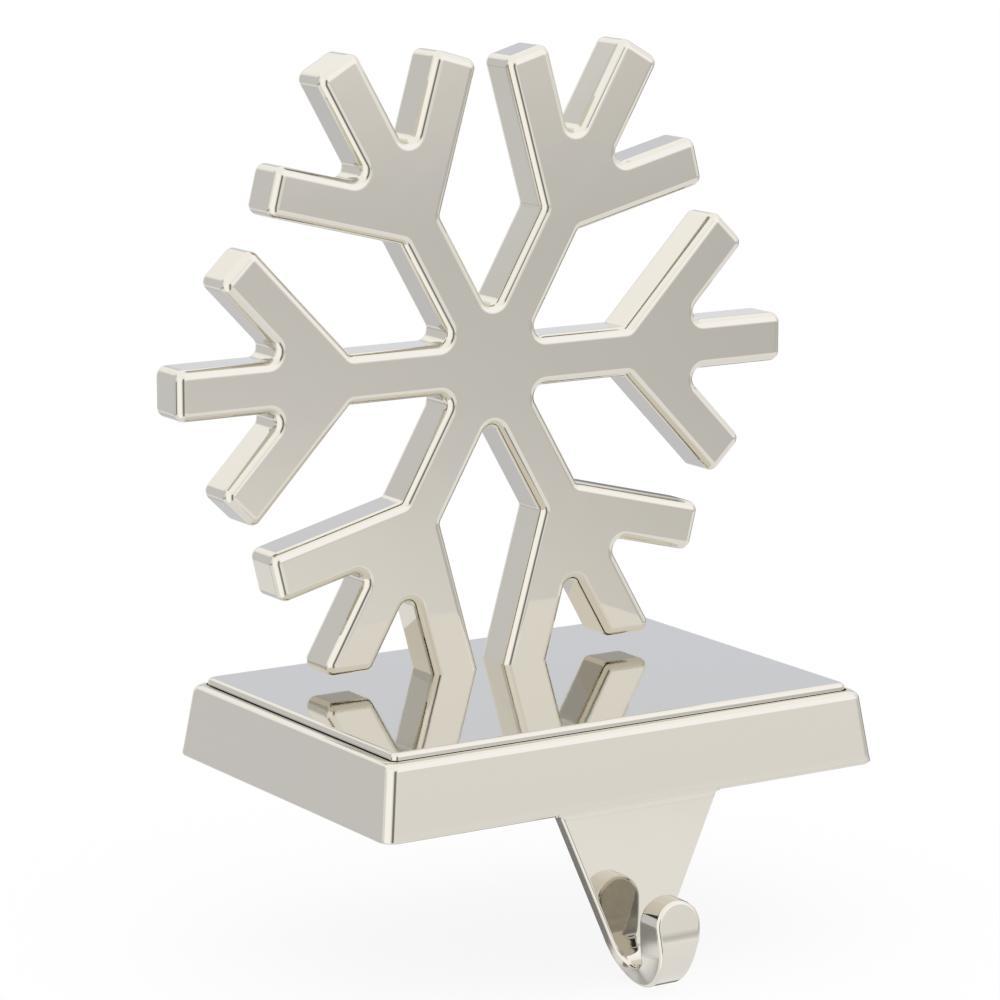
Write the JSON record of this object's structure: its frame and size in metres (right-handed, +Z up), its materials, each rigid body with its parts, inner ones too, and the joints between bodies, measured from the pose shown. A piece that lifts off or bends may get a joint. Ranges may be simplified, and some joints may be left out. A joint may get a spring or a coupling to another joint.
{
  "type": "mantel stocking holder",
  "caption": "Mantel stocking holder: weighted rectangular base with a J hook below its front edge and an upright snowflake, in polished nickel.",
  "frame": {"origin": "middle of the pad's underside, where the holder rests on the shelf", "axes": "+Z up, -Y out of the shelf's front edge towards the room and the hook, +X to the right seen from the room"},
  "size_m": [0.1246, 0.0831, 0.1548],
  "materials": {
    "nickel_plate": "polished nickel plate over a zinc casting",
    "zinc_screw": "bright zinc plate",
    "dark_pad": "matt foam rubber"
  },
  "bodies": {
    "root": {"base_and_hook": "nickel_plate", "snowflake": "nickel_plate", "fixing_screws": "zinc_screw", "non_slip_pad": "dark_pad"}
  },
  "joints": []
}
